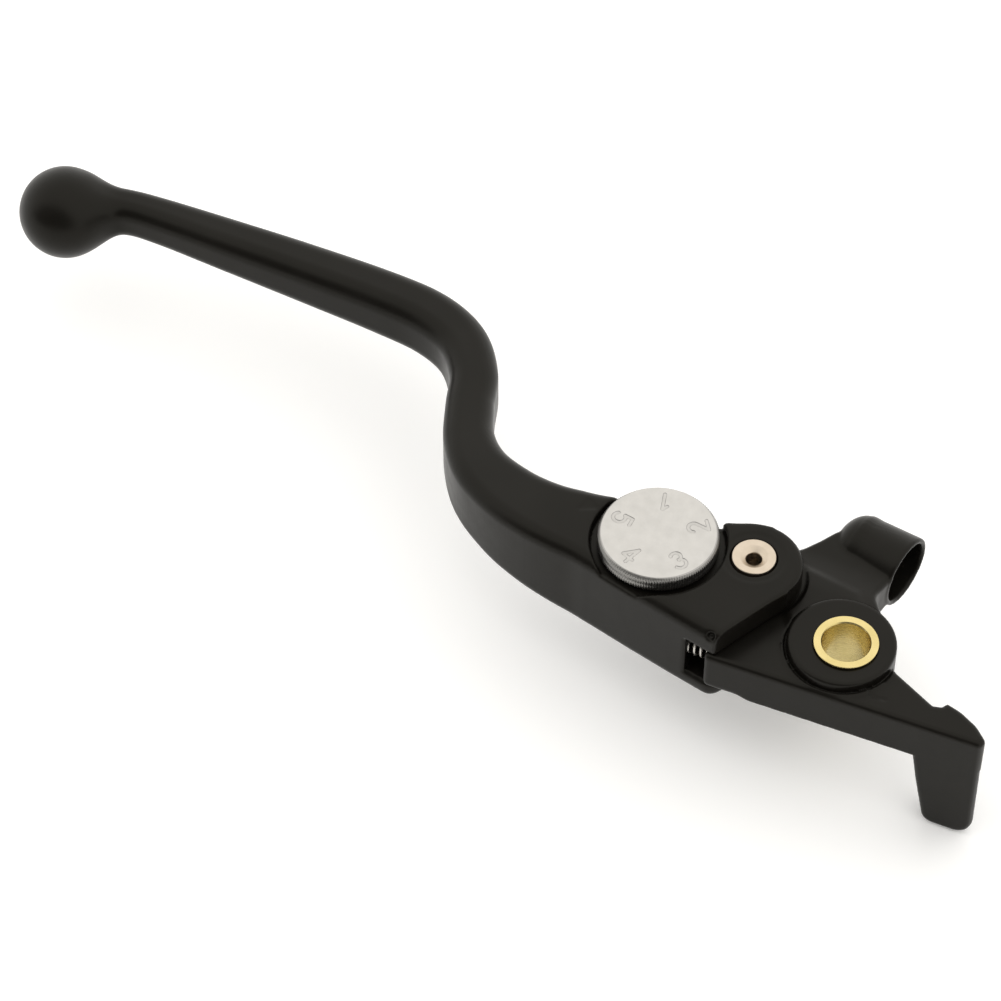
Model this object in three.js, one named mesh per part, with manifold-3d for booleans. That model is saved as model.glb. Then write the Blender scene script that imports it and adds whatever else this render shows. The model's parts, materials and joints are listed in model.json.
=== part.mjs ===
// Motorcycle clutch lever with a five-position reach dial, modelled as the separate pieces it is built
// from. Frame, in millimetres: the origin is on the main pivot's axis at half the bush's height. +Z
// runs up the pivot axis towards the dial. +X runs along the finger grip, from the ball towards the
// switch tab. +Y points at the handlebar, so the rider pulls the grip towards +Y.

import * as THREE from "three";
import { mergeVertices } from "three/addons/utils/BufferGeometryUtils.js";
import Module from "manifold-3d";

const wasm = await Module();
wasm.setup();

// ---------------------------------------------------------------- driving dimensions

const ROUND = 40; // sides of a full circle on the larger round features
const SMALL_ROUND = 28; // sides of a full circle on the smaller ones
const FIT = 0.1; // radial clearance between pieces that sit inside each other

// Main pivot, at the origin
const PIVOT_BORE_R = 4; // takes an 8 mm pivot bolt
const BUSH_R = 5;
const BUSH_FLANGE_R = 5.35;
const BUSH_HALF = 6.6; // half the bush's length
const BOSS = { x: -0.8, y: 0.2 }; // its outside stands slightly off the bore's axis
const BOSS_R = 9.15;
const BOSS_TOP = 6.1;
const LOWER_BOSS_R = 7.6;
const LOWER_BOSS_Z = -5.6;

// Plate of the inner lever, and the fork of the outer lever that straddles it
const PLATE_HALF = 4.3;
const WEB = { rootHalf: 4.85, rootY: 10, tipHalf: 2.0, tipY: 32 }; // it thins towards the pushrod socket
const SLOT_HALF = 4.6;
const FORK_TOP = 9.6;
const FORK_BOTTOM = -8.3;

// Hinge between the two levers
const HINGE = { x: -20.1, y: 7.3 };
const HINGE_HOLE_R = 2.6;
const HINGE_BUSH_R = 3.4;
const LUG_R = 7.2;
const NOSE = { x: -19.9, y: 6.7, r: 8.4 }; // round end of the fork's plates over the hinge
const NOSE_POCKET_R = 9.3;
const RIVET_HEAD_R = 3.75;
const RIVET_SHANK_R = 2.5;
const RIVET_TAIL_R = 3.4;
const RIVET_HOLE_R = 1.35;
const HEAD_SEAT_Z = 8.6;
const TAIL_SEAT_Z = -7.0;

// Reach dial, its spindle and its cam
const DIAL = { x: -36.0, y: 3.6 };
const DIAL_R = 10.3;
const DIAL_TOP = 11.5;
const DIAL_BOTTOM = 8.1;
const DIAL_TEETH = 80;
const DIAL_TOOTH = 0.28; // depth of the coin edge
const RECESS_R = 11.5;
const RECESS_FLOOR = 7.8;
const RECESS_RIM = 0.7; // wall left between the recess and the front of the lever
const SPINDLE_R = 3.0;
const SPINDLE_SQUARE = 4.6; // across the flats, where the cam sits
const SQUARE_HOLE = SPINDLE_SQUARE + 2 * FIT;
const JOURNAL_R = 2.2;
const GROOVE_R = 1.6;
const CAM_HALF = 4.2;
const CAM_LEAST = 3.7; // cam centre to its shortest flat, position 5
const CAM_STEPS = 4; // steps from position 5 to position 1
const CAM_STEP_DEG = 72;
const CAM_FLAT_HALF = 1.0; // half the length of each detent flat
const CAM_POCKET_R = 6.9;
const REACH_DEG = 6; // outer lever's swing from position 5 to position 1
const CAM_GAP = 0.15; // running gap between the cam and the arm it pushes
const ARM_FACE_Y = DIAL.y + CAM_LEAST + CAM_GAP;
const O_RING = { r: 3.9, wire: 0.55, depth: 1.0 };
const CLIP_SEAT_Z = -6.3;
const CLIP_R = 3.9;
const CLIP = { z: -7.75, thickness: 0.6 };
const INDEX_MARK = [[-51, 3.4], [-47.8, 5.3], [-50.6, 7.2]]; // points at the dial's number in use
const INDEX_DEPTH = 0.3;

// Pushrod socket, a blind bore that runs back from the centre of its mouth
const SOCKET = { x: 1.7, y: 23.0, turnDeg: -9.5, depth: 9.1 };
const SOCKET_OUTER_R = 6.3;
const SOCKET_BORE_R = 5.3;
const SOCKET_DOME = 4.1; // how far the closed end bulges
const SEAT_THICKNESS = 2.2;

// Return spring, along X between the two levers
const SPRING = { y: -6.1, fromX: -29.2, toX: -17.8 };
const SPRING_R = 2.15; // to the middle of the wire
const WIRE_R = 0.3;
const SPRING_POCKET_R = 2.6;
const SPRING_PITCH = 1.1;

// Centreline of the outer lever's handle, from inside the fork to the neck of the ball.
// Each station is [x, y, width across, top z, bottom z, squareness], where a squareness of 2 is an ellipse.
const HANDLE = [
  [-46, 2.1, 15.6, 9.5, -8.2, 9],
  [-50, 1.9, 14.4, 9.5, -8.1, 8],
  [-57, 2.2, 12.8, 9.2, -7.4, 5.5],
  [-64, 3.9, 11.6, 8.6, -6.7, 4.5],
  [-71.2, 7.5, 10.3, 7.9, -6.1, 4],
  [-76.4, 13.1, 9.2, 7.2, -5.6, 3.6],
  [-79.9, 20.2, 8.6, 6.7, -5.3, 3.4],
  [-82.9, 27.6, 8.7, 6.4, -5.1, 3.2],
  [-88.3, 33.9, 9.1, 6.2, -4.9, 3],
  [-96, 37.2, 9.3, 6.1, -4.8, 3],
  [-106, 38.1, 9.2, 6.0, -4.7, 3],
  [-122, 38.2, 8.6, 5.6, -4.3, 3],
  [-138, 38.0, 7.8, 5.1, -3.8, 3],
  [-152, 37.7, 7.0, 4.7, -3.4, 2.8],
  [-159, 36.9, 6.9, 4.7, -3.4, 2.6],
  [-165, 34.4, 8.2, 5.6, -4.3, 2.4],
];
const BALL = { x: -169.1, y: 31.9, z: 0.65, r: 8.35 };
const HANDLE_STEPS = 44;
const SECTION_SIDES = 20;

// Switch tab, which hangs from the end of the inner lever's tongue with its front face flush with the
// tongue's
const TAB = {
  plan: [[15.4, -8.88], [27.2, -8.05], [28.1, -7.2], [25.3, -4.7], [19.2, -3.2], [15.4, -4.4]],
  face: [
    [15.6, 0], [16.2, -4.3], [18.9, -18.4], [19.8, -20.4], [21.6, -21.1], [25.4, -21.2], [27.3, -20.3],
    [28.0, -18.2], [27.8, 0],
  ],
};

// ---------------------------------------------------------------- shape helpers

// A three.js geometry as a manifold-3d solid.
function solid(geometry) {
  const bare = geometry.index ? geometry.toNonIndexed() : geometry.clone();
  bare.deleteAttribute("normal");
  bare.deleteAttribute("uv");
  const merged = mergeVertices(bare, 1e-4);
  return new wasm.Manifold(
    new wasm.Mesh({
      numProp: 3,
      vertProperties: merged.attributes.position.array,
      triVerts: new Uint32Array(merged.index.array),
    }),
  );
}

// A manifold-3d solid as a three.js geometry.
function geometryOf(made) {
  const mesh = made.getMesh();
  const geometry = new THREE.BufferGeometry();
  geometry.setAttribute("position", new THREE.BufferAttribute(mesh.vertProperties, 3));
  geometry.setIndex(new THREE.BufferAttribute(mesh.triVerts, 1));
  return geometry;
}

// A plate with the given outline, from z0 up to z1. bevel rounds its top and bottom edges inwards.
function plate(shape, z0, z1, bevel = 0) {
  const geometry = new THREE.ExtrudeGeometry(shape, {
    depth: z1 - z0 - 2 * bevel,
    bevelEnabled: bevel > 0,
    bevelThickness: bevel,
    bevelSize: bevel,
    bevelOffset: -bevel,
    bevelSegments: 2,
    curveSegments: 5,
  });
  return solid(geometry.translate(0, 0, z0 + bevel));
}

// An upright cylinder, or a cone where topR differs, centred on (x, y).
function post({ x = 0, y = 0 }, r, z0, z1, sides = SMALL_ROUND, topR = r) {
  const geometry = new THREE.CylinderGeometry(topR, r, z1 - z0, sides);
  return solid(geometry.rotateX(Math.PI / 2).translate(x, y, (z0 + z1) / 2));
}

// A cylinder along X at half height.
function rod(r, x0, x1, y = 0, sides = SMALL_ROUND) {
  const geometry = new THREE.CylinderGeometry(r, r, x1 - x0, sides);
  return solid(geometry.rotateZ(Math.PI / 2).translate((x0 + x1) / 2, y, 0));
}

// A ball with its poles on X, squashed or stretched along X.
function ball(r, x = 0, stretch = 1) {
  const geometry = new THREE.SphereGeometry(r, ROUND, 14);
  return solid(geometry.rotateZ(Math.PI / 2).scale(stretch, 1, 1).translate(x, 0, 0));
}

// A block between two corners.
function block([x0, y0, z0], [x1, y1, z1]) {
  const geometry = new THREE.BoxGeometry(x1 - x0, y1 - y0, z1 - z0);
  return solid(geometry.translate((x0 + x1) / 2, (y0 + y1) / 2, (z0 + z1) / 2));
}

// A piece turned about the Z axis. The profile is a closed loop of [radius, z] points.
function turned(profile, sides = SMALL_ROUND) {
  const points = [...profile, profile[0]].map(([r, z]) => new THREE.Vector2(r, z));
  return solid(new THREE.LatheGeometry(points, sides).rotateX(Math.PI / 2));
}

function outline(points) {
  return new THREE.Shape(points.map(([x, y]) => new THREE.Vector2(x, y)));
}

function through(points) {
  return points.map(([x, y]) => new THREE.Vector2(x, y));
}

function joined(...solids) {
  return solids.reduce((a, b) => a.add(b));
}

function cut(body, ...tools) {
  return tools.reduce((a, b) => a.subtract(b), body);
}

// ---------------------------------------------------------------- outer lever

// Smooth curve through three columns of a station list.
function spline(stations, columns) {
  const points = stations.map((station) => new THREE.Vector3(...columns.map((c) => station[c])));
  return new THREE.CatmullRomCurve3(points, false, "centripetal");
}

// The handle as rings of rounded-rectangle section square to its centreline.
function handle() {
  const line = spline(HANDLE, [0, 1, 2]);
  const heights = spline(HANDLE, [3, 4, 5]);
  const rounded = (value, squareness) => Math.sign(value) * Math.abs(value) ** (2 / squareness);
  const rings = [];
  for (let i = 0; i <= HANDLE_STEPS; i++) {
    const t = i / HANDLE_STEPS;
    const { x, y, z: width } = line.getPoint(t);
    const along = line.getTangent(t).setZ(0).normalize();
    const { x: top, y: bottom, z: squareness } = heights.getPoint(t);
    const ring = [];
    for (let k = 0; k < SECTION_SIDES; k++) {
      const a = (2 * Math.PI * k) / SECTION_SIDES;
      const across = (rounded(Math.cos(a), squareness) * width) / 2;
      const up = (rounded(Math.sin(a), squareness) * (top - bottom)) / 2;
      ring.push([x - along.y * across, y + along.x * across, (top + bottom) / 2 + up]);
    }
    rings.push(ring);
  }
  return solid(skin(rings));
}

// A closed geometry over a row of rings that all have the same number of points, with flat ends.
function skin(rings) {
  const sides = rings[0].length;
  const centre = (ring) => [0, 1, 2].map((axis) => ring.reduce((sum, p) => sum + p[axis], 0) / sides);
  const vertices = [...rings.flat(), centre(rings[0]), centre(rings.at(-1))];
  const firstCentre = rings.length * sides;
  const faces = [];
  for (let k = 0; k < sides; k++) {
    const next = (k + 1) % sides;
    for (let i = 0; i + 1 < rings.length; i++) {
      const a = i * sides + k;
      const b = i * sides + next;
      faces.push([a, b, b + sides], [a, b + sides, a + sides]);
    }
    const last = (rings.length - 1) * sides;
    faces.push([firstCentre, next, k], [firstCentre + 1, last + k, last + next]);
  }
  const geometry = new THREE.BufferGeometry();
  geometry.setAttribute("position", new THREE.Float32BufferAttribute(vertices.flat(), 3));
  geometry.setIndex(faces.flat());
  return geometry;
}

// Plan of the fork: front edge, slanted end, round nose over the hinge, and rear edge.
function forkOutline() {
  const shape = new THREE.Shape();
  shape.moveTo(-50, -5.3);
  shape.splineThru(through([[-44, -6.3], [-36, -7.9], [-28, -9.4], [-20.6, -10.6]]));
  shape.lineTo(-19.1, -10.9);
  shape.lineTo(-18.6, -10.4);
  shape.absarc(NOSE.x, NOSE.y, NOSE.r, -Math.PI * 0.14, Math.PI * 0.6, false);
  shape.splineThru(through([[-28, 11.7], [-37, 11.1], [-45, 10.2], [-50, 8.9]]));
  shape.closePath();
  return shape;
}

// Everything between the fork's two plates that the inner lever and the cam need.
function slot() {
  const height = [-SLOT_HALF, SLOT_HALF];
  const mouth = block([-24.6, -14, height[0]], [-8, 18, height[1]]);
  const armRoom = block([-43.6, DIAL.y + 2, height[0]], [-20, 18, height[1]]);
  const cam = post(DIAL, CAM_POCKET_R, ...height, ROUND);
  const link = block([DIAL.x, -1.4, height[0]], [-20, 9, height[1]]);
  return joined(mouth, armRoom, cam, link);
}

function outerLever() {
  const fork = plate(forkOutline(), FORK_BOTTOM, FORK_TOP, 0.6);
  const rim = post(DIAL, RECESS_R + RECESS_RIM, RECESS_FLOOR - 3, FORK_TOP - 0.9, ROUND);
  const rimFront = rim.intersect(block([-49, -12, 0], [-28, DIAL.y - 6, 12]));
  const sphere = new THREE.SphereGeometry(BALL.r, 24, 16).rotateX(Math.PI / 2);
  const end = solid(sphere.translate(BALL.x, BALL.y, BALL.z));
  return cut(
    joined(fork, rimFront, handle(), end),
    slot(),
    post(DIAL, RECESS_R, RECESS_FLOOR, FORK_TOP + 3, ROUND),
    post(DIAL, SPINDLE_R + FIT, 0, FORK_TOP),
    post(DIAL, O_RING.r + O_RING.wire + FIT, RECESS_FLOOR - O_RING.depth, FORK_TOP),
    post(DIAL, JOURNAL_R + FIT, FORK_BOTTOM - 1, 0),
    post(DIAL, CLIP_R + 0.5, FORK_BOTTOM - 1, CLIP_SEAT_Z),
    plate(outline(INDEX_MARK), FORK_TOP - INDEX_DEPTH, FORK_TOP + 1),
    post(HINGE, HINGE_HOLE_R, FORK_BOTTOM - 1, FORK_TOP + 1),
    post(HINGE, RIVET_HEAD_R + FIT, HEAD_SEAT_Z, FORK_TOP + 1),
    post(HINGE, RIVET_HEAD_R + 0.6, FORK_BOTTOM - 1, TAIL_SEAT_Z),
    rod(SPRING_POCKET_R, SPRING.fromX - 0.2, -24, SPRING.y),
  );
}

// ---------------------------------------------------------------- inner lever

// Plan of the flat plate: spring end, cam arm, hinge lug, and the tongue that runs out to the switch tab.
function innerPlateOutline() {
  const shape = new THREE.Shape();
  shape.moveTo(-20.6, -10.6);
  shape.quadraticCurveTo(-20.6, -11.4, -19.8, -11.35);
  shape.lineTo(26.9, -8.05);
  shape.quadraticCurveTo(28.0, -7.95, 27.4, -6.6);
  shape.quadraticCurveTo(25.3, -4.0, 19.3, -2.5);
  shape.lineTo(18.2, -4.1);
  shape.lineTo(9.4, -0.2);
  shape.lineTo(-3, 12);
  shape.lineTo(-14.6, 13.4);
  shape.absarc(HINGE.x, HINGE.y, LUG_R, Math.PI * 0.28, Math.PI * 0.55, false);
  shape.lineTo(-41.4, 10.5);
  shape.quadraticCurveTo(-42.6, 10.4, -42.6, 9.4);
  shape.lineTo(-42.6, ARM_FACE_Y + 0.8);
  shape.quadraticCurveTo(-42.6, ARM_FACE_Y, -41.8, ARM_FACE_Y);
  shape.lineTo(-28, ARM_FACE_Y);
  shape.quadraticCurveTo(-25.6, ARM_FACE_Y, -25.4, 4);
  shape.quadraticCurveTo(-24.6, -2, -20.6, -2.4);
  shape.closePath();
  return shape;
}

// Plan of the thicker web that carries the pushrod socket.
function webOutline() {
  const shape = new THREE.Shape();
  shape.moveTo(-12.4, 3);
  shape.lineTo(-6, -4);
  shape.lineTo(6.5, 5.2);
  shape.quadraticCurveTo(-2.0, 10.4, 0.8, 18.2);
  shape.lineTo(0.9, SOCKET.y);
  shape.lineTo(-9, SOCKET.y + 2);
  shape.quadraticCurveTo(-12.4, 21.2, -14.9, 17.8);
  shape.quadraticCurveTo(-16.2, 15.4, -18.4, 14.2);
  shape.closePath();
  return shape;
}

// The tab's plan, cut to its tapered and rounded face.
function tab() {
  const face = new THREE.ExtrudeGeometry(outline(TAB.face), { depth: 12, bevelEnabled: false });
  const upright = solid(face.rotateX(Math.PI / 2));
  return plate(outline(TAB.plan), -30, 0).intersect(upright);
}

// The web is a plate whose top and bottom slope in towards the socket.
function taperedWeb() {
  const { rootHalf, rootY, tipHalf, tipY } = WEB;
  const profile = [
    [-12, -rootHalf], [rootY, -rootHalf], [tipY, -tipHalf],
    [tipY, tipHalf], [rootY, rootHalf], [-12, rootHalf],
  ];
  const wedge = new THREE.ExtrudeGeometry(outline(profile), { depth: 40, bevelEnabled: false });
  // The profile's axes become Y and Z, and its depth runs along X.
  const turn = new THREE.Matrix4().makeBasis(
    new THREE.Vector3(0, 1, 0),
    new THREE.Vector3(0, 0, 1),
    new THREE.Vector3(1, 0, 0),
  );
  wedge.applyMatrix4(turn).translate(-25, 0, 0);
  return plate(webOutline(), -rootHalf - 1, rootHalf + 1).intersect(solid(wedge));
}

// Moves a shape built along X, with its mouth at the origin, to the socket's place.
function atSocket(made) {
  return made.rotate([0, 0, SOCKET.turnDeg]).translate([SOCKET.x, SOCKET.y, 0]);
}

function innerLever() {
  const barrel = joined(
    rod(SOCKET_OUTER_R, -SOCKET.depth, 0, 0, ROUND),
    ball(SOCKET_OUTER_R, -SOCKET.depth, SOCKET_DOME / SOCKET_OUTER_R),
  );
  const nosePocket = (z0, z1) => post(HINGE, NOSE_POCKET_R, z0, z1, ROUND);
  const web = cut(
    taperedWeb(),
    nosePocket(PLATE_HALF, BOSS_TOP),
    nosePocket(-BOSS_TOP, -PLATE_HALF),
  );
  const body = joined(
    plate(innerPlateOutline(), -PLATE_HALF, PLATE_HALF, 0.4),
    post(BOSS, BOSS_R, 0, BOSS_TOP, ROUND),
    post({}, LOWER_BOSS_R, LOWER_BOSS_Z, 0, ROUND),
    web,
    atSocket(barrel),
    tab(),
  );
  return cut(
    body,
    post({}, BUSH_R + FIT, -10, 10, ROUND),
    post(HINGE, HINGE_BUSH_R + FIT, -10, 10),
    atSocket(rod(SOCKET_BORE_R, -SOCKET.depth, 3, 0, ROUND)),
    rod(SPRING_POCKET_R, -25, SPRING.toX + 0.2, SPRING.y),
  );
}

// ---------------------------------------------------------------- small pieces

function pivotBush() {
  return turned([
    [PIVOT_BORE_R, -BUSH_HALF + 0.4],
    [PIVOT_BORE_R + 0.4, -BUSH_HALF],
    [BUSH_R - 0.2, -BUSH_HALF],
    [BUSH_R, -BUSH_HALF + 0.3],
    [BUSH_R, BOSS_TOP + FIT],
    [BUSH_FLANGE_R, BOSS_TOP + FIT],
    [BUSH_FLANGE_R, BUSH_HALF - 0.15],
    [BUSH_FLANGE_R - 0.15, BUSH_HALF],
    [PIVOT_BORE_R + 0.5, BUSH_HALF],
    [PIVOT_BORE_R, BUSH_HALF - 0.6],
  ], ROUND);
}

// Hardened seat for the bottom of the socket, dished for the pushrod's round end. Its back is at the
// origin.
function pushrodSeat() {
  return rod(SOCKET_BORE_R - FIT, 0, SEAT_THICKNESS, 0, ROUND).subtract(ball(4.2, SEAT_THICKNESS + 3));
}

// Hollow rivet with a dished head above the fork and a rolled tail below it.
function hingeRivet() {
  return turned([
    [RIVET_HOLE_R, FORK_BOTTOM + 0.4],
    [RIVET_HOLE_R + 0.5, FORK_BOTTOM],
    [RIVET_TAIL_R - 0.3, FORK_BOTTOM],
    [RIVET_TAIL_R, FORK_BOTTOM + 0.3],
    [RIVET_TAIL_R - 0.4, TAIL_SEAT_Z - 0.6],
    [RIVET_SHANK_R, TAIL_SEAT_Z - 0.6],
    [RIVET_SHANK_R, HEAD_SEAT_Z + FIT],
    [RIVET_HEAD_R, HEAD_SEAT_Z + FIT],
    [RIVET_HEAD_R, FORK_TOP - 0.05],
    [RIVET_HEAD_R - 0.25, FORK_TOP + 0.2],
    [2.4, FORK_TOP + 0.2],
    [RIVET_HOLE_R, FORK_TOP - 0.6],
  ]);
}

// A flat washer below the origin.
function washer(holeR, r, thickness) {
  return turned([
    [holeR, -thickness - FIT],
    [r, -thickness - FIT],
    [r, -FIT],
    [holeR, -FIT],
  ]);
}

// Sleeve pressed into the inner lever's lug, which the rivet turns in.
function rivetWasher() {
  return washer(RIVET_SHANK_R + FIT, RIVET_HEAD_R + 0.3, 0.4);
}

function hingeBush() {
  return turned([
    [RIVET_SHANK_R + FIT, -PLATE_HALF],
    [HINGE_BUSH_R, -PLATE_HALF],
    [HINGE_BUSH_R, PLATE_HALF],
    [RIVET_SHANK_R + FIT, PLATE_HALF],
  ]);
}

// Dial with a coin edge, standing on the origin. It is pressed onto the spindle from above.
function adjusterWheel() {
  const height = DIAL_TOP - DIAL_BOTTOM;
  const blank = turned([
    [0, 1.4],
    [SPINDLE_R + FIT, 1.4],
    [SPINDLE_R + FIT, 0],
    [DIAL_R - 0.4, 0],
    [DIAL_R, 0.4],
    [DIAL_R, height - 0.5],
    [DIAL_R - 0.5, height],
    [0, height],
  ], DIAL_TEETH);
  const teeth = Array.from({ length: 2 * DIAL_TEETH }, (_, k) => {
    const r = DIAL_R - DIAL_TOOTH * (k % 2);
    const a = (Math.PI * k) / DIAL_TEETH;
    return [r * Math.cos(a), r * Math.sin(a)];
  });
  return blank.intersect(plate(outline(teeth), -1, height + 1));
}

// Spindle: round head, square middle for the cam, journal in the lower plate, and a groove for the clip.
function adjusterSpindle() {
  const half = SPINDLE_SQUARE / 2;
  const flats = SLOT_HALF - FIT;
  const groove = cut(
    post({}, 6, CLIP.z - FIT, CLIP.z + CLIP.thickness + FIT),
    post({}, GROOVE_R, FORK_BOTTOM, 0),
  );
  return cut(
    joined(
      post({}, SPINDLE_R, CAM_HALF + FIT, DIAL_BOTTOM + 1.3),
      block([-half, -half, -flats], [half, half, flats]),
      post({}, JOURNAL_R, FORK_BOTTOM + 0.2, 0),
    ),
    groove,
  );
}

// Distance from the cam's centre to the inner lever's arm when the outer lever stands at an angle.
function armDistance(leverAngle) {
  const along = HINGE.x - DIAL.x;
  const across = HINGE.y - DIAL.y;
  return ARM_FACE_Y - HINGE.y + along * Math.sin(leverAngle) + across * Math.cos(leverAngle);
}

// Cam plan: the hull of five short flats, each one step further from the centre, so that turning the dial
// clockwise from position 5 to position 1 swings the outer lever evenly away from the handlebar.
function camOutline() {
  const corners = [];
  for (let k = 0; k <= CAM_STEPS; k++) {
    const lever = THREE.MathUtils.degToRad((REACH_DEG * k) / CAM_STEPS);
    const facing = Math.PI / 2 + THREE.MathUtils.degToRad(CAM_STEP_DEG * k) - lever;
    const reach = armDistance(lever) - CAM_GAP;
    for (const side of [-CAM_FLAT_HALF, CAM_FLAT_HALF]) {
      corners.push([
        reach * Math.cos(facing) - side * Math.sin(facing),
        reach * Math.sin(facing) + side * Math.cos(facing),
      ]);
    }
  }
  return outline(corners);
}

function adjusterCam() {
  const half = SQUARE_HOLE / 2;
  return plate(camOutline(), -CAM_HALF, CAM_HALF).subtract(block([-half, -half, -6], [half, half, 6]));
}

function spindleORing() {
  return solid(new THREE.TorusGeometry(O_RING.r, O_RING.wire, 8, SMALL_ROUND));
}

// E-clip: a flat ring above the origin, open on one side, that grips the groove with three teeth.
function eClip() {
  const { thickness } = CLIP;
  const ring = cut(
    post({}, CLIP_R - 0.3, 0, thickness),
    post({}, JOURNAL_R + 0.5, -1, thickness + 1),
    block([-1.3, -6, -1], [1.3, 0, thickness + 1]),
  );
  const tooth = (degrees) => solid(
    new THREE.BoxGeometry(1.2, 1.2, thickness).translate(JOURNAL_R + 0.1, 0, thickness / 2)
      .rotateZ(THREE.MathUtils.degToRad(degrees)),
  );
  const toothed = joined(ring, tooth(90), tooth(-25), tooth(205));
  return toothed.subtract(post({}, GROOVE_R + FIT, -1, thickness + 1));
}

// Compression spring between the blind pockets of the two levers. It runs along X from the origin.
class Helix extends THREE.Curve {
  constructor(turns, length) {
    super();
    this.turns = turns;
    this.length = length;
  }
  getPoint(t) {
    const a = 2 * Math.PI * this.turns * t;
    return new THREE.Vector3(WIRE_R + this.length * t, SPRING_R * Math.cos(a), SPRING_R * Math.sin(a));
  }
}

function returnSpring() {
  const length = SPRING.toX - SPRING.fromX - 2 * WIRE_R;
  const turns = Math.floor(length / SPRING_PITCH);
  const steps = turns * 12;
  const sides = 6;
  const path = new Helix(turns, length);
  const frames = path.computeFrenetFrames(steps, false);
  const rings = frames.tangents.map((tangent, i) => {
    const centre = path.getPointAt(i / steps);
    return Array.from({ length: sides }, (_, k) => {
      const a = (2 * Math.PI * k) / sides;
      return centre.clone()
        .addScaledVector(frames.normals[i], WIRE_R * Math.cos(a))
        .addScaledVector(frames.binormals[i], WIRE_R * Math.sin(a))
        .toArray();
    });
  });
  return solid(skin(rings));
}

// ---------------------------------------------------------------- assembly

const PAINT = { color: 0x2c2a27, roughness: 0.42, metalness: 0.1 };
const STEEL = { color: 0xb9b4aa, roughness: 0.35, metalness: 1 };
const BRASS = { color: 0xd8b860, roughness: 0.25, metalness: 1 };
const CHROME = { color: 0xd6d6d4, roughness: 0.18, metalness: 1 };
const RUBBER = { color: 0x151515, roughness: 0.8, metalness: 0 };

// A named mesh at its place inside its group.
function piece(name, made, finish, [x, y, z] = [0, 0, 0]) {
  const mesh = new THREE.Mesh(geometryOf(made), new THREE.MeshStandardMaterial(finish));
  mesh.name = name;
  mesh.position.set(x, y, z);
  return mesh;
}

// A group whose own axis stands at a point of the parent's plan.
function group({ x = 0, y = 0 }, ...children) {
  const made = new THREE.Group();
  made.position.set(x, y, 0);
  made.add(...children);
  return made;
}

const socket = group(SOCKET, piece("pushrod_seat", pushrodSeat(), STEEL, [FIT - SOCKET.depth, 0, 0]));
socket.rotation.z = THREE.MathUtils.degToRad(SOCKET.turnDeg);

const inner = group({},
  piece("inner_lever", innerLever(), PAINT),
  piece("pivot_bush", pivotBush(), BRASS),
  piece("return_spring", returnSpring(), STEEL, [SPRING.fromX, SPRING.y, 0]),
  socket,
);

const hinge = group(HINGE,
  piece("hinge_bush", hingeBush(), BRASS),
  piece("hinge_rivet", hingeRivet(), STEEL),
  piece("hinge_rivet_washer", rivetWasher(), STEEL, [0, 0, TAIL_SEAT_Z]),
);

const dial = group(DIAL,
  piece("adjuster_wheel", adjusterWheel(), CHROME, [0, 0, DIAL_BOTTOM]),
  piece("adjuster_spindle", adjusterSpindle(), STEEL),
  piece("adjuster_cam", adjusterCam(), STEEL),
  piece("spindle_o_ring", spindleORing(), RUBBER, [0, 0, RECESS_FLOOR - O_RING.depth + O_RING.wire + 0.05]),
  piece("clip_washer", washer(JOURNAL_R + FIT, CLIP_R, 0.6), STEEL, [0, 0, CLIP_SEAT_Z]),
  piece("spindle_e_clip", eClip(), STEEL, [0, 0, CLIP.z]),
);

const lever = new THREE.Group();
lever.add(inner, hinge, group({}, piece("outer_lever", outerLever(), PAINT), dial));

export default lever;
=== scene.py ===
# Motorcycle clutch lever: the looks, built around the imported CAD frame.
# Shapes are worked out in millimetres, in the frame's axes. Meshes are made in metres.

import json
import math

import bmesh
import bpy
import numpy as np
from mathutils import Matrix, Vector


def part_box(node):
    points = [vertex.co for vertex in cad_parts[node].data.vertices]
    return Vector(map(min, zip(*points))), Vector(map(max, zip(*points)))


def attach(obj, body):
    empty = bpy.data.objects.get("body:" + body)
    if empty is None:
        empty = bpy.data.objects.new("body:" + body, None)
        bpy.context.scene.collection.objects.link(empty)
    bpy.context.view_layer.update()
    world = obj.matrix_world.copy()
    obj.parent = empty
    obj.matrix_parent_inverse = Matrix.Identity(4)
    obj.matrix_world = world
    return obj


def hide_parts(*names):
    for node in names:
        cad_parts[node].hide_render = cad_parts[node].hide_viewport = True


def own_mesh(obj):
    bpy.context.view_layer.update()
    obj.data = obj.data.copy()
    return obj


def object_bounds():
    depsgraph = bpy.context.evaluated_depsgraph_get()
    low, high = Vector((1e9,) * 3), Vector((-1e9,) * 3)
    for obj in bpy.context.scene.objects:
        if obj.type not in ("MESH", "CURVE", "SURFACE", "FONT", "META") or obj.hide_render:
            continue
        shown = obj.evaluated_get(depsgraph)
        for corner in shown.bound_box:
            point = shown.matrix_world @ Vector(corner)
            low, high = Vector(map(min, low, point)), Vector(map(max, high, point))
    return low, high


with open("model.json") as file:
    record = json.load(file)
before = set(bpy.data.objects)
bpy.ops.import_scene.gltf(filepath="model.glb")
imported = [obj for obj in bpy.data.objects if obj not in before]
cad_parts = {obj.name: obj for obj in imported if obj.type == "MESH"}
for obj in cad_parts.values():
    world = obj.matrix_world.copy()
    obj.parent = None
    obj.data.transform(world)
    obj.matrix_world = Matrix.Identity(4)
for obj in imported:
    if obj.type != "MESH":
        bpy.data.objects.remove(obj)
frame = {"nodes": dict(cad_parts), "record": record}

import openvdb

CAD_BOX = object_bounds()
MM = 0.001


# ------------------------------------------------------------------ places, from the frame

def box_mm(node):
    """Lowest and highest corner of a CAD node, in millimetres."""
    low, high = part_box(node)
    return np.array(low) / MM, np.array(high) / MM


def centre_mm(node):
    low, high = box_mm(node)
    return (low + high) / 2


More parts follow.
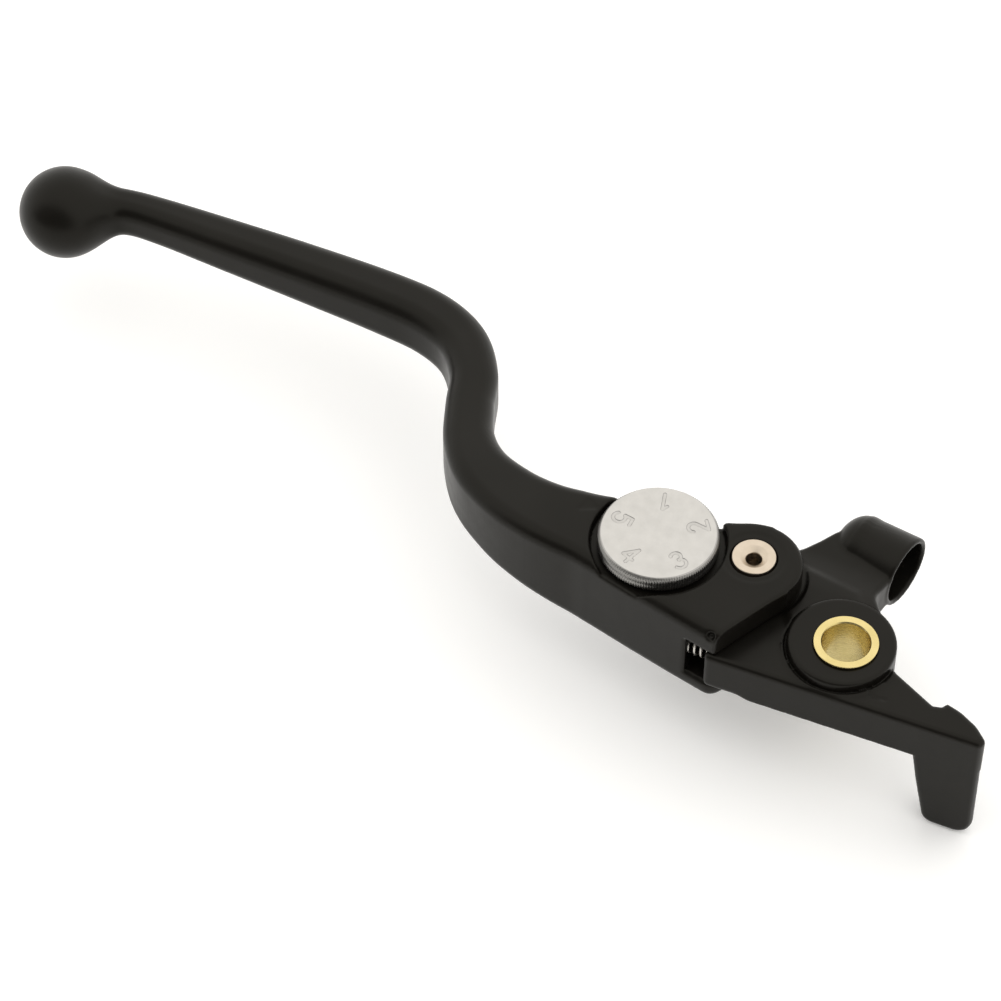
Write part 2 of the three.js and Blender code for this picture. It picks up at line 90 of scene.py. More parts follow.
WHEEL_LOW, WHEEL_HIGH = box_mm("adjuster_wheel")
WHEEL = (WHEEL_LOW + WHEEL_HIGH) / 2
WHEEL_R = (WHEEL_HIGH[0] - WHEEL_LOW[0]) / 2
RIVET = centre_mm("hinge_rivet")
RIVET_LOW, RIVET_HIGH = box_mm("hinge_rivet")
BUSH_HIGH = box_mm("pivot_bush")[1]
OUTER_LOW, OUTER_HIGH = box_mm("outer_lever")
INNER_LOW, INNER_HIGH = box_mm("inner_lever")
SPRING_LOW, SPRING_HIGH = box_mm("return_spring")

MOUTH = next(mount for mount in frame["record"]["mounts"] if mount["name"] == "socket_mouth")

FORK_TOP = 9.6
FORK_BOTTOM = -8.3
SLOT_HALF = 4.6
PLATE_HALF = 4.3
BOSS_TOP = 6.1
RECESS_R = 11.5
RECESS_FLOOR = 7.8
SPRING_POCKET_R = 2.6
SPRING_TRAVEL = 0.3  # room past the spring's end
THROUGH = 20  # well past either face, for holes that go right through
GRID_MARGIN = 1.5  # empty room around a lever's distance field
OUTER_STEP = 0.3
INNER_STEP = 0.26
BOSS = (-0.8, 0.2)
BOSS_R = 9.15


# ------------------------------------------------------------------ distance fields
# A shape is an array of signed distances on a grid of points, negative inside.

class Grid:
    def __init__(self, low, high, step):
        self.low = np.array(low, dtype=np.float32)
        self.step = step
        axes = [np.arange(low[i], high[i] + step, step, dtype=np.float32) for i in range(3)]
        self.x = axes[0][:, None, None]
        self.y = axes[1][None, :, None]
        self.z = axes[2][None, None, :]


def smooth_union(a, b, k):
    h = np.clip(k - np.abs(a - b), 0, None) / k
    return np.minimum(a, b) - h * h * k / 4


def smooth_cut(a, b, k):
    """a without b, with the new edge rounded over k."""
    h = np.clip(k - np.abs(a + b), 0, None) / k
    return np.maximum(a, -b) + h * h * k / 4


def smooth_common(a, b, k):
    return smooth_cut(a, -b, k)


def rounded_common(a, b, r):
    """Where a and b overlap, with their shared edge rounded to radius r, a number or an array."""
    u = a + r
    v = b + r
    return np.minimum(np.maximum(u, v), 0) + np.hypot(np.maximum(u, 0), np.maximum(v, 0)) - r


def slab(z, low, high):
    return np.abs(z - (low + high) / 2) - (high - low) / 2


def disc(grid, x, y, r):
    return np.hypot(grid.x - x, grid.y - y) - r


def post(grid, x, y, r, low, high, edge):
    return rounded_common(disc(grid, x, y, r), slab(grid.z, low, high), edge)


def ball(grid, x, y, z, r):
    return np.sqrt((grid.x - x) ** 2 + (grid.y - y) ** 2 + (grid.z - z) ** 2) - r


def inside_polygon(x, y, points):
    inside = np.zeros(np.broadcast(x, y).shape, dtype=bool)
    for (x0, y0), (x1, y1) in zip(points, np.roll(points, -1, axis=0)):
        crosses = (y0 > y) != (y1 > y)
        at = x0 + (y - y0) * (x1 - x0) / ((y1 - y0) or 1e-9)
        inside ^= crosses & (x < at)
    return inside


def polygon(grid, points):
    """Distance to a closed plan outline, the same at every height."""
    points = np.array(points, dtype=np.float32)
    x = grid.x[:, :, 0]
    y = grid.y[:, :, 0]
    best = np.full(np.broadcast(x, y).shape, 1e9, dtype=np.float32)
    for (x0, y0), (x1, y1) in zip(points, np.roll(points, -1, axis=0)):
        dx = x1 - x0
        dy = y1 - y0
        along = np.clip(((x - x0) * dx + (y - y0) * dy) / (dx * dx + dy * dy + 1e-12), 0, 1)
        best = np.minimum(best, np.hypot(x - x0 - along * dx, y - y0 - along * dy))
    return np.where(inside_polygon(x, y, points), -best, best)[:, :, None]


def filleted(corners):
    """A closed outline through [x, y, radius] corners, each turned into an arc of that radius."""
    corners = [(np.array(c[:2], dtype=float), c[2]) for c in corners]
    points = []
    for i, (here, radius) in enumerate(corners):
        to_last = corners[i - 1][0] - here
        to_next = corners[(i + 1) % len(corners)][0] - here
        to_last /= np.linalg.norm(to_last)
        to_next /= np.linalg.norm(to_next)
        half = math.acos(np.clip(to_last @ to_next, -1, 1)) / 2
        if radius == 0 or half > 1.56:
            points.append(here)
            continue
        back = radius / math.tan(half)
        inwards = to_last + to_next
        centre = here + inwards / np.linalg.norm(inwards) * radius / math.sin(half)
        start = here + to_last * back - centre
        end = here + to_next * back - centre
        a0 = math.atan2(start[1], start[0])
        turn = (math.atan2(end[1], end[0]) - a0 + math.pi) % (2 * math.pi) - math.pi
        steps = max(2, int(abs(turn) / 0.12))
        for a in a0 + turn * np.linspace(0, 1, steps + 1):
            points.append(centre + radius * np.array([math.cos(a), math.sin(a)]))
    return points


def smoothstep(low, high, value):
    t = np.clip((value - low) / (high - low), 0, 1)
    return t * t * (3 - 2 * t)


def spline(stations, count):
    """count rows along a smooth curve through the stations, evenly spread over them."""
    stations = np.array(stations, dtype=float)
    padded = np.vstack([2 * stations[0] - stations[1], stations, 2 * stations[-1] - stations[-2]])
    rows = []
    for t in np.linspace(0, len(stations) - 1, count):
        i = min(int(t), len(stations) - 2)
        f = t - i
        p0, p1, p2, p3 = padded[i:i + 4]
        rows.append(0.5 * (2 * p1 + (p2 - p0) * f + (2 * p0 - 5 * p1 + 4 * p2 - p3) * f ** 2
                           + (3 * p1 - p0 - 3 * p2 + p3) * f ** 3))
    return np.array(rows)


def mesh_object(name, vertices, faces):
    mesh = bpy.data.meshes.new(name)
    mesh.from_pydata([tuple(v) for v in vertices], [], [tuple(f) for f in faces])
    mesh.update()
    mesh.polygons.foreach_set("use_smooth", [True] * len(mesh.polygons))
    piece = bpy.data.objects.new(name, mesh)
    bpy.context.collection.objects.link(piece)
    return piece


def surface_object(name, grid, field):
    """The surface of a distance field as a smooth mesh piece."""
    reach = 3 * grid.step
    volume = openvdb.FloatGrid(reach)
    volume.copyFromArray(np.ascontiguousarray(np.clip(field, -reach, reach), dtype=np.float32))
    points, triangles, quads = volume.convertToPolygons(isovalue=0.0, adaptivity=0.0)
    points = (points * grid.step + grid.low) * MM
    faces = [tuple(f)[::-1] for f in quads.tolist()] + [tuple(f)[::-1] for f in triangles.tolist()]
    piece = mesh_object(name, points.tolist(), faces)
    if signed_volume(piece) < 0:
        piece.data.flip_normals()
    return piece


def signed_volume(piece):
    mesh = bmesh.new()
    mesh.from_mesh(piece.data)
    volume = mesh.calc_volume(signed=True)
    mesh.free()
    return volume


# ------------------------------------------------------------------ outer lever

# Centreline of the handle: [x, y, width across, top z, bottom z, edge radius].
HANDLE = [
    [-42, 2.1, 15.8, 9.6, -8.3, 2.4],
    [-50, 1.9, 14.4, 9.5, -8.1, 2.4],
    [-57, 2.2, 12.8, 9.2, -7.4, 2.5],
    [-64, 3.9, 11.6, 8.6, -6.7, 2.6],
    [-71.2, 7.5, 10.2, 7.9, -6.1, 2.7],
    [-76.4, 13.1, 9.0, 7.2, -5.6, 2.8],
    [-79.9, 20.2, 8.6, 6.7, -5.3, 2.9],
    [-82.9, 27.6, 8.7, 6.4, -5.1, 3.0],
    [-88.3, 33.9, 9.1, 6.2, -4.9, 3.2],
    [-96, 37.2, 9.5, 6.1, -4.8, 3.3],
    [-106, 38.1, 9.4, 6.0, -4.7, 3.3],
    [-122, 38.2, 8.9, 5.6, -4.3, 3.2],
    [-138, 38.0, 8.1, 5.1, -3.8, 3.0],
    [-152, 37.7, 7.3, 4.7, -3.4, 2.9],
    [-159, 36.9, 7.2, 4.7, -3.4, 2.9],
    [-165, 34.4, 8.2, 5.4, -4.1, 3.2],
]
HANDLE_ROWS = 260  # samples along the centreline
HANDLE_JOIN = (-52, -45)  # where the handle's section turns into the fork's
BALL = (-169.1, 31.9, 0.65)
BALL_R = 8.45
BALL_NECK = 3.4  # how softly the ball runs into the grip
# Plan of the fork, without the round nose over the hinge: [x, y, corner radius].
FORK = [
    [-52, -4.8, 0], [-44, -6.3, 30], [-36, -7.95, 30], [-28, -9.5, 30], [-18.9, -11.1, 0.6],
    [-12.3, 3.06, 0], [-19.9, 14.9, 0], [-23.6, 14.0, 8], [-28.5, 12.15, 8], [-37, 11.3, 30],
    [-45, 10.3, 20], [-52, 8.8, 0],
]
FORK_CORNER = 4  # the corner that is rounder on the lower plate
LOWER_CORNER_R = 3.0
# The fork's two long sides, run on past its end, where the wide fillets of its edges follow them.
FORK_SIDES = [
    [-60, -3.5, 0], [-52, -4.8, 0], [-44, -6.3, 30], [-36, -7.95, 30], [-28, -9.5, 30],
    [-18.9, -11.1, 0], [0, -14.5, 0], [0, 30, 0], [-24, 18, 0], [-30, 12.6, 6], [-37, 11.3, 30],
    [-45, 10.3, 20], [-52, 8.8, 0], [-60, 8.9, 0],
]
SIDE_FILLET = 2.4
SIDE_FILLET_LESS = 0.8  # by how much it shrinks on the far side, beside the dial
END_EDGE = 0.55
END_EDGE_MORE = 0.5  # by how much the end's edge grows towards the far side
LOWER_EDGE = (0.8, 2.2)  # edge of the lower plate, under the nose and away from it
NOSE = (-19.9, 6.6, 8.4)  # x, y and radius
INDEX_MARK = [[-51, 3.5, 0.2], [-47.9, 5.2, 0.2], [-50.4, 6.8, 0.2]]
INDEX_DEPTH = 0.16
SLOT_MOUTH_X = -24.6
ARM_END_X = -43.6
CAM_POCKET_R = 6.9
SPRING_POCKET_MOUTH_X = -24
PIT = (-19.9, -10.3, 8.4, 0.7)  # casting mark at the near corner: x, y, z and radius


def handle_field(grid):
    rows = spline(HANDLE, HANDLE_ROWS).astype(np.float32)
    x = grid.x[:, :, 0]
    y = grid.y[:, :, 0]
    nearest = np.full(np.broadcast(x, y).shape, 1e9, dtype=np.float32)
    index = np.zeros(nearest.shape, dtype=int)
    for i, row in enumerate(rows):
        d = np.hypot(x - row[0], y - row[1])
        closer = d < nearest
        nearest[closer] = d[closer]
        index[closer] = i
    # Between two samples, the foot of the perpendicular gives a smooth position along the line.
    tangent = np.gradient(rows[:, :2], axis=0)
    tangent_i = tangent[index]
    offset = ((x - rows[index, 0]) * tangent_i[..., 0] + (y - rows[index, 1]) * tangent_i[..., 1])
    along = index + offset / (tangent_i ** 2).sum(-1)
    along_in = np.clip(along, 0, len(rows) - 1)
    value = [np.interp(along_in, np.arange(len(rows)), rows[:, c]) for c in range(6)]
    lateral = np.hypot(x - value[0], y - value[1])
    plan = (lateral - value[2] / 2).astype(np.float32)[:, :, None]
    middle = ((value[3] + value[4]) / 2).astype(np.float32)[:, :, None]
    half = ((value[3] - value[4]) / 2).astype(np.float32)[:, :, None]
    radius = value[5].astype(np.float32)[:, :, None]
    return rounded_common(plan, np.abs(grid.z - middle) - half, radius)


def fork_field(grid):
    lower = [list(corner) for corner in FORK]
    lower[FORK_CORNER][2] = LOWER_CORNER_R
    plan = np.where(grid.z > 0, polygon(grid, filleted(FORK)), polygon(grid, filleted(lower)))
    plan = smooth_union(plan, disc(grid, *NOSE), 0.8)
    height = slab(grid.z, FORK_BOTTOM, FORK_TOP)
    from_nose = disc(grid, NOSE[0], NOSE[1], NOSE[2] + 2)
    top_edge = END_EDGE + END_EDGE_MORE * smoothstep(8, 13, grid.y)
    under_nose, away = LOWER_EDGE
    bottom_edge = under_nose + (away - under_nose) * smoothstep(0.5, 3.5, from_nose)
    edge = np.where(grid.z > 0, top_edge, bottom_edge)
    beside_dial = smoothstep(4, 9, grid.y) * smoothstep(-38, -31, grid.x)
    fillet = SIDE_FILLET - SIDE_FILLET_LESS * beside_dial
    sides = rounded_common(polygon(grid, filleted(FORK_SIDES)), height, fillet)
    return smooth_common(sides, rounded_common(plan, height, edge), 0.25)


def fork_slot(grid):
    """What the inner lever and the cam need between the two plates."""
    height = slab(grid.z, -SLOT_HALF, SLOT_HALF)
    mouth = np.maximum(SLOT_MOUTH_X - grid.x, 0 * grid.y)
    arm_room = np.maximum(np.maximum(ARM_END_X - grid.x, WHEEL[1] + 2 - grid.y), grid.x + 20)
    cam = disc(grid, WHEEL[0], WHEEL[1], CAM_POCKET_R)
    # A box joins the cam's pocket to the mouth.
    link = np.maximum(np.abs(grid.x + 28) - 8, np.abs(grid.y - 3.8) - 5.2)
    plan = np.minimum(np.minimum(mouth, arm_room), np.minimum(cam, link))
    return rounded_common(plan, height, 0.3)


def spring_pocket(grid, low, high):
    around = np.hypot(grid.y - centre_mm("return_spring")[1], grid.z) - SPRING_POCKET_R
    return np.maximum(around, slab(grid.x, low, high))


def outer_lever():
    grid = Grid(OUTER_LOW - GRID_MARGIN, OUTER_HIGH + GRID_MARGIN, OUTER_STEP)
    weight = smoothstep(*HANDLE_JOIN, grid.x)
    body = handle_field(grid) * (1 - weight) + fork_field(grid) * weight
    body = smooth_union(body, ball(grid, *BALL, BALL_R), BALL_NECK)
    body = smooth_cut(body, fork_slot(grid), 0.5)
    wx, wy, _ = WHEEL
    rx, ry, _ = RIVET
    mark = np.maximum(polygon(grid, filleted(INDEX_MARK)), FORK_TOP - INDEX_DEPTH - grid.z)
    body = smooth_cut(body, mark, 0.2)
    recess_lip = 0.6 + 0.7 * smoothstep(6, 12, grid.y)
    # [x, y, radius, low z, high z, how far the new edge is rounded]
    bores = [
        (wx, wy, RECESS_R, RECESS_FLOOR, THROUGH, recess_lip),  # recess under the dial
        (wx, wy, 3.1, 0, THROUGH, 0.3),  # spindle's bore in the upper plate
        (wx, wy, 4.55, 6.8, THROUGH, 0.3),  # seat of the o-ring
        (wx, wy, 2.3, -THROUGH, 0, 0.3),  # spindle's bore in the lower plate
        (wx, wy, 4.4, -THROUGH, -6.3, 0.4),  # counterbore for the clip
        (rx, ry, 5.3, FORK_TOP - 0.12, THROUGH, 0.25),  # faced ring around the rivet
        (rx, ry, 3.95, 8.6, THROUGH, 0.3),  # seat of the rivet's head
        (rx, ry, 2.6, -THROUGH, THROUGH, 0.3),  # rivet's bore
        (rx, ry, 4.35, -THROUGH, -7.0, 0.4),  # counterbore for the rivet's tail
    ]
    for x, y, r, low, high, edge in bores:
        body = smooth_cut(body, post(grid, x, y, r, low, high, 0.1), edge)
    pocket = spring_pocket(grid, SPRING_LOW[0] - SPRING_TRAVEL, SPRING_POCKET_MOUTH_X)
    body = smooth_cut(body, pocket, 0.3)
    body = smooth_cut(body, ball(grid, *PIT), 0.4)
    piece = surface_object("outer_lever_cast", grid, body)
    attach(piece, "outer_lever")
    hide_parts("outer_lever")
    return piece


# ------------------------------------------------------------------ inner lever

ARM_FACE_Y = 7.45
# Plan of the tongue, the hinge eye and the arm inside the fork: [x, y, corner radius].
INNER_PLATE = [
    [-20.6, -11.55, 0.9], [27.6, -8.2, 1.3], [27.7, -6.6, 0.6], [25.3, -4.5, 4], [21.9, -2.9, 6],
    [19.2, -2.3, 0.4], [18.2, -4.2, 0.5], [9.2, -0.2, 2], [-3, 12, 0], [-14.4, 13.3, 0],
    [-17, 14.5, 1.5], [-21.4, 14.5, 2], [-28, 11.1, 3], [-42.6, 10.5, 1.2],
    [-42.6, ARM_FACE_Y, 0.8], [-26, ARM_FACE_Y, 2], [-25.2, 2, 3], [-23.5, -2.4, 1.5],
    [-20.6, -2.4, 0.6],
]
TOP_EDGE = 0.9
PLATE_LOWER_EDGE = (0.5, 1.6)  # along the tongue, and at the end inside the fork
# Plan of the web between the boss and the barrel.
WEB = [
    [-12.4, 3, 3], [-7, -3, 0], [6.5, 5.4, 0], [2.7, 9.4, 2.5], [-0.2, 13.0, 4], [0.9, 18.6, 1],
    [1.3, 23.1, 0], [-9.0, 25.8, 0], [-11.6, 23.6, 3], [-13.4, 20.4, 5], [-15.3, 17.5, 5],
    [-18.8, 14.2, 1],
]
WEB_ROOT_HALF = 4.8  # half the web's height beside the boss
WEB_TIP_HALF = 3.6  # and beside the barrel
WEB_TAPER_Y = (9, 18)  # the web thins between these
TAB_PLAN = [
    [15.2, -9.07, 0.3], [28.0, -8.17, 1.4], [28.0, -6.6, 0.6], [25.2, -4.7, 1], [19.2, -3.2, 1],
    [15.2, -4.4, 1],
]
# The tab seen from the front: [x, z, corner radius].
TAB_FACE = [
    [15.7, 6, 0], [16.1, -3.5, 10], [17.3, -10.7, 30], [19.4, -21.0, 2.3], [28.1, -21.3, 3.4],
    [27.9, -11.6, 20], [27.6, 6, 0],
]
BARREL_R = 6.4
BARREL_END_R = 5.85  # the barrel tapers towards its closed end
BARREL_BORE_R = 5.35
MOUTH_RING_R = 5.8  # from the barrel's axis to the mount's point
BARREL_DEPTH = 9.2
DOME = 4.3
NOSE_POCKET_R = 9.3
FOOT = (0.85, 0.12)  # low step around the boss: how far out and how high
FOOT_END_Y = -3.5  # it shows on the near side only
GROOVE_OUT = 0.12
GROOVE_HALF = 0.2
GROOVE_DEPTH = 0.4
TICK_HALF = 0.18
TICK_DEPTH = 0.2
MARKS_FROM_Z = PLATE_HALF - 0.7  # the groove and the tick stay out of the walls below
LOWER_BOSS = (0, 0, 7.6, -5.6)  # x, y, radius and lowest z
BUSH_HOLE_R = 5.15
HINGE_HOLE_R = 3.5
INNER_POCKET_MOUTH_X = -25
SPRING_SEAT_ROOM = 0.2
TICK = [(6.7, -6.1), (7.9, -6.8), (9.9, -6.5)]  # short mould line beside the boss


def line_distance(grid, points):
    """Distance to an open line of points in plan, the same at every height."""
    x, y = np.broadcast_arrays(grid.x[:, :, 0], grid.y[:, :, 0])
    return stroke_distance(x, y, [points])[:, :, None]


def upright(grid, points):
    """Distance to a closed outline in X and Z, the same at every Y."""
    turned = Grid.__new__(Grid)
    turned.x = grid.x
    turned.y = grid.z.reshape(1, -1, 1)
    return polygon(turned, points).transpose(0, 2, 1)


def barrel_fields(grid):
    """The pushrod barrel with its closed dome, and the bore in it."""
    ax, ay, _ = MOUTH["axis"]
    px, py, _ = np.array(MOUTH["pos_m"]) / MM
    # The mount's point lies on the mouth's ring, to the far side of the bore.
    mx = px + ay * MOUTH_RING_R
    my = py - ax * MOUTH_RING_R
    along = (grid.x - mx) * ax + (grid.y - my) * ay
    across = (grid.y - my) * ax - (grid.x - mx) * ay
    around = np.hypot(across, grid.z)
    radius = BARREL_R + (BARREL_END_R - BARREL_R) * np.clip(-along / BARREL_DEPTH, 0, 1)
    tube = rounded_common(around - radius, slab(along, -BARREL_DEPTH - 0.6, 0), 0.5)
    stretch = DOME / BARREL_END_R
    dome = (np.sqrt(((along + BARREL_DEPTH) / stretch) ** 2 + around ** 2) - BARREL_END_R) * 0.8
    bore = np.maximum(around - BARREL_BORE_R, -BARREL_DEPTH - along)
    return smooth_union(tube, dome, 0.4), bore


def inner_lever():
    grid = Grid(INNER_LOW - GRID_MARGIN, INNER_HIGH + GRID_MARGIN, INNER_STEP)
    rx, ry, _ = RIVET
    plan = polygon(grid, filleted(INNER_PLATE))
    tongue_edge, end_edge = PLATE_LOWER_EDGE
    lower_edge = tongue_edge + (end_edge - tongue_edge) * smoothstep(-12, -15, grid.x)
    edge = np.where(grid.z > 0, TOP_EDGE, lower_edge)
    body = rounded_common(plan, slab(grid.z, -PLATE_HALF, PLATE_HALF), edge)
    tab_plan = polygon(grid, filleted(TAB_PLAN))
    tab = rounded_common(tab_plan, upright(grid, filleted(TAB_FACE)), TOP_EDGE)
    tab = rounded_common(tab, grid.z - PLATE_HALF, TOP_EDGE)
    body = np.minimum(body, tab)
    web_half = WEB_ROOT_HALF + (WEB_TIP_HALF - WEB_ROOT_HALF) * smoothstep(*WEB_TAPER_Y, grid.y)
    web = rounded_common(polygon(grid, filleted(WEB)), np.abs(grid.z) - web_half, TOP_EDGE)
    outside_plates = PLATE_HALF - np.abs(grid.z)
    nose_pocket = rounded_common(disc(grid, rx, ry, NOSE_POCKET_R), outside_plates, 0.2)
    web = smooth_cut(web, nose_pocket, 0.7)
    body = smooth_union(body, web, 1.2)
    barrel, bore = barrel_fields(grid)
    body = smooth_union(body, barrel, 0.4)
    foot_out, foot_up = FOOT
    foot = post(grid, *BOSS, BOSS_R + foot_out, 0, PLATE_HALF + foot_up, 0.15)
    foot = np.maximum(smooth_common(foot, plan + 0.5, 0.6), grid.y - FOOT_END_Y)
    body = smooth_union(body, foot, 0.3)
    above = MARKS_FROM_Z - grid.z
    ring = np.abs(disc(grid, *BOSS, BOSS_R + GROOVE_OUT)) - GROOVE_HALF
    groove = np.maximum(ring, -body - GROOVE_DEPTH)
    body = smooth_cut(body, np.maximum(groove, above), 0.2)
    tick = np.maximum(line_distance(grid, TICK) - TICK_HALF, -body - TICK_DEPTH)
    body = smooth_cut(body, np.maximum(tick, above), 0.15)
    body = smooth_union(body, post(grid, *BOSS, BOSS_R, 0, BOSS_TOP, 0.6), 0.1)
    body = smooth_union(body, post(grid, *LOWER_BOSS, 0, 0.5), 0.4)
    body = smooth_cut(body, disc(grid, 0, 0, BUSH_HOLE_R) + 0 * grid.z, 0.5)
    body = smooth_cut(body, disc(grid, rx, ry, HINGE_HOLE_R) + 0 * grid.z, 0.3)
    body = smooth_cut(body, nose_pocket + 0.05, 0.3)
    body = smooth_cut(body, bore, 0.6)
    pocket = spring_pocket(grid, INNER_POCKET_MOUTH_X, SPRING_HIGH[0] + SPRING_SEAT_ROOM)
    body = smooth_cut(body, pocket, 0.3)
    piece = surface_object("inner_lever_cast", grid, body)
    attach(piece, "inner_lever")
    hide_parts("inner_lever")
    return piece


# ------------------------------------------------------------------ reach dial

KNURLS = 140
KNURL_DEPTH = 0.2
RIM_CHAMFER = 0.55
DIGIT_H = 3.35
DIGIT_AT_R = 6.75
DIGIT_STROKE = 0.27  # half the width of the flat bottom of a stamped stroke
DIGIT_DEPTH = 0.16
DIGIT_ANGLES = {5: 180, 1: 107, 2: 37, 3: -36, 4: -109}
TOP_RINGS = 110
POINTS_PER_ARC = 14  # in a digit's curved strokes
POINTS_PER_KNURL = 4
TOP_INSET = 0.02  # the dial's top lies this far below its CAD height
CROWN = 0.02
DIAL_SHADE_DEPTH = 0.2  # painted shade on the dial changes over this depth below its top


def arc_points(cx, cy, rx, ry, a0, a1):
    return [(cx + rx * math.cos(math.radians(a)), cy + ry * math.sin(math.radians(a)))
            for a in np.linspace(a0, a1, POINTS_PER_ARC)]


# Strokes of each digit in a box of width 0.62 and height 1, as polylines.
DIGITS = {
    1: [[(0.12, 0.78), (0.34, 1.0), (0.34, 0.0)]],
    2: [arc_points(0.3, 0.72, 0.28, 0.28, 165, -35) + [(0.03, 0.0), (0.62, 0.0)]],
    3: [arc_points(0.3, 0.75, 0.26, 0.25, 150, -80) + arc_points(0.3, 0.27, 0.3, 0.27, 80, -155)],
    4: [[(0.44, 0.0), (0.44, 1.0), (0.0, 0.3), (0.62, 0.3)]],
    5: [[(0.55, 1.0), (0.12, 1.0), (0.06, 0.55)] + arc_points(0.29, 0.33, 0.3, 0.32, 130, -150)],
}


def stroke_distance(x, y, strokes):
    best = np.full(x.shape, 1e9)
    for stroke in strokes:
        for (x0, y0), (x1, y1) in zip(stroke, stroke[1:]):
            dx = x1 - x0
            dy = y1 - y0
            along = np.clip(((x - x0) * dx + (y - y0) * dy) / (dx * dx + dy * dy), 0, 1)
            best = np.minimum(best, np.hypot(x - x0 - along * dx, y - y0 - along * dy))
    return best


def digit_depth(x, y):
    """Depth of the stamped numbers, in millimetres, at x and y from the dial's centre."""
    depth = np.zeros(x.shape)
    for number, degrees in DIGIT_ANGLES.items():
        a = math.radians(degrees)
        # The number's top points at the dial's centre.
        up = np.array([-math.cos(a), -math.sin(a)])
        across = np.array([up[1], -up[0]])
        px = x - DIGIT_AT_R * math.cos(a)
        py = y - DIGIT_AT_R * math.sin(a)
        u = (px * across[0] + py * across[1]) / DIGIT_H + 0.31
        v = (px * up[0] + py * up[1]) / DIGIT_H + 0.5
        d = stroke_distance(u, v, DIGITS[number]) * DIGIT_H
        outside = smoothstep(DIGIT_STROKE - 0.05, DIGIT_STROKE + 0.09, d)
        depth = np.maximum(depth, DIGIT_DEPTH * (1 - outside))
    return depth


def ring_mesh(name, rings):
    """A closed mesh over rings of points, from the centre of one end to the centre of the other."""
    rings = np.array(rings)
    count, sides = rings.shape[:2]
    vertices = rings.reshape(-1, 3).tolist()
    faces = []
    for i in range(count - 1):
        for k in range(sides):
            n = (k + 1) % sides
            faces.append((i * sides + k, (i + 1) * sides + k, (i + 1) * sides + n, i * sides + n))
    vertices.append(rings[0].mean(axis=0).tolist())
    faces += [(len(vertices) - 1, k, (k + 1) % sides) for k in range(sides)]
    vertices.append(rings[-1].mean(axis=0).tolist())
    start = (count - 1) * sides
    faces += [(len(vertices) - 1, start + (k + 1) % sides, start + k) for k in range(sides)]
    return mesh_object(name, vertices, faces)


def adjuster_wheel():
    sides = KNURLS * POINTS_PER_KNURL
    angles = np.linspace(0, 2 * math.pi, sides, endpoint=False)
    cos = np.cos(angles)
    sin = np.sin(angles)
    top = WHEEL_HIGH[2]
    bottom = WHEEL_LOW[2]
    rings = []
    flat_r = WHEEL_R - RIM_CHAMFER - 0.15
    for r in np.linspace(0.1, flat_r, TOP_RINGS):
        crown = CROWN * (r / WHEEL_R) ** 8
        z = top - TOP_INSET - crown - digit_depth(r * cos, r * sin)
        rings.append(np.stack([r * cos, r * sin, z], 1))
    teeth = 0.5 + 0.5 * np.cos(KNURLS * angles)
    # Down the rim: [inset from the wheel's radius, height, how much of the knurl shows].
    height = top - bottom
    rim = [
        (RIM_CHAMFER, top - 0.06, 0), (0.4, top - 0.22, 0.1), (0.2, top - 0.46, 0.45),
        (0.05, top - 0.62, 0.95), (0, top - 0.75, 1), (0, bottom + height * 0.55, 1),
        (0.16, bottom + height * 0.48, 0.4), (0, bottom + height * 0.41, 1), (0, bottom + 0.6, 1),
        (0.12, bottom + 0.4, 0.8), (0.4, bottom + 0.2, 0.2), (0.8, bottom + 0.1, 0),
    ]
    for inset, z, share in rim:
        r = WHEEL_R - inset - KNURL_DEPTH * share * (1 - teeth)
        rings.append(np.stack([r * cos, r * sin, np.full(sides, z)], 1))
    # The flat underside, in to the ring that the mesh is closed over.
    for r in (8, 4.5):
        rings.append(np.stack([r * cos, r * sin, np.full(sides, bottom + 0.1)], 1))
    rings = (np.array(rings) + [WHEEL[0], WHEEL[1], 0]) * MM
    piece = ring_mesh("adjuster_wheel_knurled", rings)
    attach(piece, "reach_adjuster")
    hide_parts("adjuster_wheel")
    return piece


# ------------------------------------------------------------------ turned pieces and spring

def lathe(name, x, y, profile, sides=96):
    """A turned ring about an upright axis. The profile is a closed loop of [radius, z] points."""
    angles = np.linspace(0, 2 * math.pi, sides, endpoint=False)
    vertices = []
    for r, z in profile:
        vertices += [((x + r * math.cos(a)) * MM, (y + r * math.sin(a)) * MM, z * MM)
                     for a in angles]
    faces = []
    rows = len(profile)
    for i in range(rows):
        j = (i + 1) % rows
        for k in range(sides):
            n = (k + 1) % sides
            faces.append((i * sides + k, i * sides + n, j * sides + n, j * sides + k))
    piece = mesh_object(name, vertices, faces)
    if signed_volume(piece) < 0:
        piece.data.flip_normals()
    return piece


def rounded_profile(corners):
    """A closed [radius, z] loop with each [radius, z, edge radius] corner turned into an arc."""
    return [tuple(p) for p in filleted(corners)]


def pivot_bush():
    half = BUSH_HIGH[2]
    piece = lathe("pivot_bush_turned", 0, 0, rounded_profile([
        [4, -half, 0.35], [5, -half, 0.2], [5, 6.2, 0.03], [5.45, 6.2, 0.06], [5.45, half, 0.18],
        [4.2, half, 0.1], [4, half - 0.3, 0.12],
    ]), 128)
    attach(piece, "inner_lever")
    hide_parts("pivot_bush")
    return piece


def hinge_rivet():
    top = RIVET_HIGH[2]
    bottom = RIVET_LOW[2]
    piece = lathe("hinge_rivet_turned", RIVET[0], RIVET[1], rounded_profile([
        [1.35, bottom + 0.1, 0.3], [3.3, bottom, 0.5], [3.3, bottom + 0.7, 0.15],
        [2.5, bottom + 0.7, 0.1], [2.5, 8.7, 0.05], [3.75, 8.7, 0.1], [3.75, top, 0.25],
        [2.5, top, 0.4], [1.35, top - 0.75, 0.3],
    ]))
    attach(piece, "hinge_rivet")
    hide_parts("hinge_rivet")
    return piece


